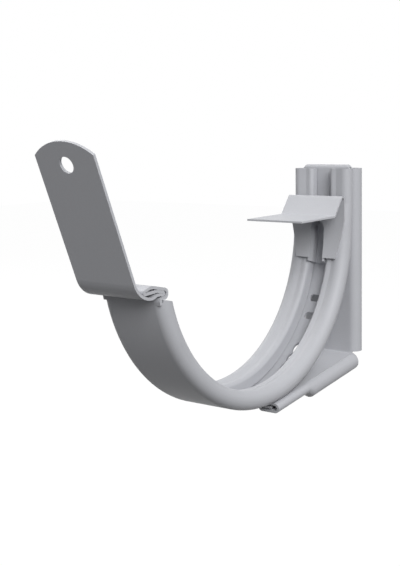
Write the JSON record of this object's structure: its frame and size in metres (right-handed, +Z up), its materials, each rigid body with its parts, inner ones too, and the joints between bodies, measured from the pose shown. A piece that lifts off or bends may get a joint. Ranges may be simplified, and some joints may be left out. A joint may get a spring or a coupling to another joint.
{
  "type": "gutter bracket",
  "caption": "Half-round gutter bracket folded from one rolled-edge steel strip, with a wall leg, a strut, a front tongue and a rear sheet clip.",
  "frame": {"origin": "centre of the gutter's half circle, in the middle of the strip", "axes": "+X out from the wall, +Y along the gutter, +Z up"},
  "size_m": [0.1862, 0.03, 0.1171],
  "materials": {
    "coated_strip": "satin",
    "coated_clip": "satin"
  },
  "bodies": {
    "root": {"strap": "coated_strip", "rear_clip": "coated_clip"}
  },
  "joints": []
}
